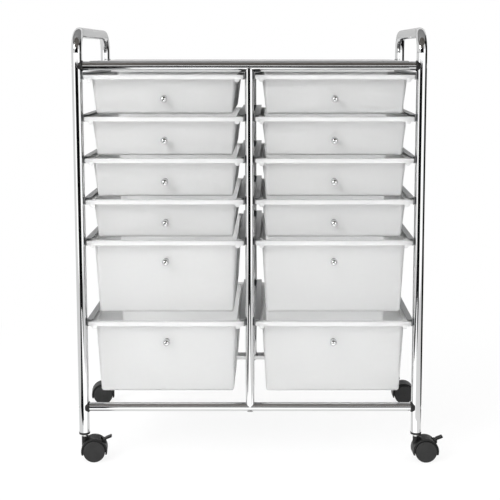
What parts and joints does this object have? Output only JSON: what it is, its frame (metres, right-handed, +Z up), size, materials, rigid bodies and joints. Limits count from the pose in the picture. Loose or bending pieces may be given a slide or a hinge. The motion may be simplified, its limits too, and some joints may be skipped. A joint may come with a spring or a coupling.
{
  "type": "rolling drawer cart",
  "caption": "Rolling storage cart: bent-tube chrome frame with handles and a flat top shelf, two columns of sliding translucent drawers with ball knobs, on swivel twin-wheel casters.",
  "frame": {"origin": "on the floor under the middle of the cart", "axes": "+Z up, drawers open towards -Y, +X to the right as seen from the front"},
  "size_m": [0.7061, 0.3835, 0.7951],
  "materials": {
    "chrome": "bright chrome plate",
    "shelf_sheet": "plated steel sheet",
    "runner_steel": "plated steel channel",
    "drawer_plastic": "frosted translucent polypropylene",
    "black_plastic": "satin moulded nylon",
    "steel": "zinc-plated steel"
  },
  "bodies": {
    "frame": {"left_side_frame": "chrome", "right_side_frame": "chrome", "centre_front_post": "chrome", "centre_rear_post": "chrome", "top_front_rail": "chrome", "top_rear_rail": "chrome", "bottom_front_rail": "chrome", "bottom_rear_rail": "chrome", "top_shelf": "shelf_sheet", "rail_collars": "black_plastic", "frame_bolts": "steel", "left_outer_runners": "runner_steel", "left_inner_runners": "runner_steel", "right_inner_runners": "runner_steel", "right_outer_runners": "runner_steel", "caster_sockets": "black_plastic", "caster_stems": "steel"},
    "left_drawer_1": {"left_drawer_1": "drawer_plastic", "left_knob_1": "chrome"},
    "left_drawer_2": {"left_drawer_2": "drawer_plastic", "left_knob_2": "chrome"},
    "left_drawer_3": {"left_drawer_3": "drawer_plastic", "left_knob_3": "chrome"},
    "left_drawer_4": {"left_drawer_4": "drawer_plastic", "left_knob_4": "chrome"},
    "left_drawer_5": {"left_drawer_5": "drawer_plastic", "left_knob_5": "chrome"},
    "left_drawer_6": {"left_drawer_6": "drawer_plastic", "left_knob_6": "chrome"},
    "right_drawer_1": {"right_drawer_1": "drawer_plastic", "right_knob_1": "chrome"},
    "right_drawer_2": {"right_drawer_2": "drawer_plastic", "right_knob_2": "chrome"},
    "right_drawer_3": {"right_drawer_3": "drawer_plastic", "right_knob_3": "chrome"},
    "right_drawer_4": {"right_drawer_4": "drawer_plastic", "right_knob_4": "chrome"},
    "right_drawer_5": {"right_drawer_5": "drawer_plastic", "right_knob_5": "chrome"},
    "right_drawer_6": {"right_drawer_6": "drawer_plastic", "right_knob_6": "chrome"},
    "front_left_caster": {"front_left_caster_hood": "black_plastic", "front_left_caster_axle": "steel"},
    "front_left_caster_front_wheel": {"front_left_caster_front_wheel": "black_plastic"},
    "front_left_caster_back_wheel": {"front_left_caster_back_wheel": "black_plastic"},
    "front_left_brake_lever": {"front_left_brake_lever": "black_plastic"},
    "front_right_caster": {"front_right_caster_hood": "black_plastic", "front_right_caster_axle": "steel"},
    "front_right_caster_front_wheel": {"front_right_caster_front_wheel": "black_plastic"},
    "front_right_caster_back_wheel": {"front_right_caster_back_wheel": "black_plastic"},
    "front_right_brake_lever": {"front_right_brake_lever": "black_plastic"},
    "rear_left_caster": {"rear_left_caster_hood": "black_plastic", "rear_left_caster_axle": "steel"},
    "rear_left_caster_front_wheel": {"rear_left_caster_front_wheel": "black_plastic"},
    "rear_left_caster_back_wheel": {"rear_left_caster_back_wheel": "black_plastic"},
    "rear_right_caster": {"rear_right_caster_hood": "black_plastic", "rear_right_caster_axle": "steel"},
    "rear_right_caster_front_wheel": {"rear_right_caster_front_wheel": "black_plastic"},
    "rear_right_caster_back_wheel": {"rear_right_caster_back_wheel": "black_plastic"}
  },
  "joints": [
    {"name": "left_drawer_1_slide", "type": "slide", "parent": "frame", "child": "left_drawer_1", "axis": [0, -1, 0], "range_m": [0, 0.24]},
    {"name": "left_drawer_2_slide", "type": "slide", "parent": "frame", "child": "left_drawer_2", "axis": [0, -1, 0], "range_m": [0, 0.24]},
    {"name": "left_drawer_3_slide", "type": "slide", "parent": "frame", "child": "left_drawer_3", "axis": [0, -1, 0], "range_m": [0, 0.24]},
    {"name": "left_drawer_4_slide", "type": "slide", "parent": "frame", "child": "left_drawer_4", "axis": [0, -1, 0], "range_m": [0, 0.24]},
    {"name": "left_drawer_5_slide", "type": "slide", "parent": "frame", "child": "left_drawer_5", "axis": [0, -1, 0], "range_m": [0, 0.24]},
    {"name": "left_drawer_6_slide", "type": "slide", "parent": "frame", "child": "left_drawer_6", "axis": [0, -1, 0], "range_m": [0, 0.24]},
    {"name": "right_drawer_1_slide", "type": "slide", "parent": "frame", "child": "right_drawer_1", "axis": [0, -1, 0], "range_m": [0, 0.24]},
    {"name": "right_drawer_2_slide", "type": "slide", "parent": "frame", "child": "right_drawer_2", "axis": [0, -1, 0], "range_m": [0, 0.24]},
    {"name": "right_drawer_3_slide", "type": "slide", "parent": "frame", "child": "right_drawer_3", "axis": [0, -1, 0], "range_m": [0, 0.24]},
    {"name": "right_drawer_4_slide", "type": "slide", "parent": "frame", "child": "right_drawer_4", "axis": [0, -1, 0], "range_m": [0, 0.24]},
    {"name": "right_drawer_5_slide", "type": "slide", "parent": "frame", "child": "right_drawer_5", "axis": [0, -1, 0], "range_m": [0, 0.24]},
    {"name": "right_drawer_6_slide", "type": "slide", "parent": "frame", "child": "right_drawer_6", "axis": [0, -1, 0], "range_m": [0, 0.24]},
    {"name": "front_left_caster_swivel", "type": "hinge", "parent": "frame", "child": "front_left_caster", "pos_m": [-0.3065, -0.1725, 0.0458], "axis": [0, 0, 1], "continuous": true},
    {"name": "front_left_caster_front_wheel_spin", "type": "hinge", "parent": "front_left_caster", "child": "front_left_caster_front_wheel", "pos_m": [-0.2891, -0.17067, 0.02], "axis": [0.1045, -0.9945, 0], "continuous": true},
    {"name": "front_left_caster_back_wheel_spin", "type": "hinge", "parent": "front_left_caster", "child": "front_left_caster_back_wheel", "pos_m": [-0.2891, -0.17067, 0.02], "axis": [0.1045, -0.9945, 0], "continuous": true},
    {"name": "front_left_brake_lever_tip", "type": "hinge", "parent": "front_left_caster", "child": "front_left_brake_lever", "pos_m": [-0.27099, -0.16877, 0.03639], "axis": [-0.1045, 0.9945, 0], "range_deg": [0, 17]},
    {"name": "front_right_caster_swivel", "type": "hinge", "parent": "frame", "child": "front_right_caster", "pos_m": [0.3065, -0.1725, 0.0458], "axis": [0, 0, 1], "continuous": true},
    {"name": "front_right_caster_front_wheel_spin", "type": "hinge", "parent": "front_right_caster", "child": "front_right_caster_front_wheel", "pos_m": [0.32399, -0.17189, 0.02], "axis": [0.0349, -0.9994, 0], "continuous": true},
    {"name": "front_right_caster_back_wheel_spin", "type": "hinge", "parent": "front_right_caster", "child": "front_right_caster_back_wheel", "pos_m": [0.32399, -0.17189, 0.02], "axis": [0.0349, -0.9994, 0], "continuous": true},
    {"name": "front_right_brake_lever_tip", "type": "hinge", "parent": "front_right_caster", "child": "front_right_brake_lever", "pos_m": [0.34219, -0.17125, 0.03639], "axis": [-0.0349, 0.9994, 0], "range_deg": [0, 17]},
    {"name": "rear_left_caster_swivel", "type": "hinge", "parent": "frame", "child": "rear_left_caster", "pos_m": [-0.3065, 0.1725, 0.0458], "axis": [0, 0, 1], "continuous": true},
    {"name": "rear_left_caster_front_wheel_spin", "type": "hinge", "parent": "rear_left_caster", "child": "rear_left_caster_front_wheel", "pos_m": [-0.32385, 0.17022, 0.02], "axis": [-0.1305, 0.9914, 0], "continuous": true},
    {"name": "rear_left_caster_back_wheel_spin", "type": "hinge", "parent": "rear_left_caster", "child": "rear_left_caster_back_wheel", "pos_m": [-0.32385, 0.17022, 0.02], "axis": [-0.1305, 0.9914, 0], "continuous": true},
    {"name": "rear_right_caster_swivel", "type": "hinge", "parent": "frame", "child": "rear_right_caster", "pos_m": [0.3065, 0.1725, 0.0458], "axis": [0, 0, 1], "continuous": true},
    {"name": "rear_right_caster_front_wheel_spin", "type": "hinge", "parent": "rear_right_caster", "child": "rear_right_caster_front_wheel", "pos_m": [0.324, 0.1725, 0.02], "axis": [0, -1, 0], "continuous": true},
    {"name": "rear_right_caster_back_wheel_spin", "type": "hinge", "parent": "rear_right_caster", "child": "rear_right_caster_back_wheel", "pos_m": [0.324, 0.1725, 0.02], "axis": [0, -1, 0], "continuous": true}
  ]
}
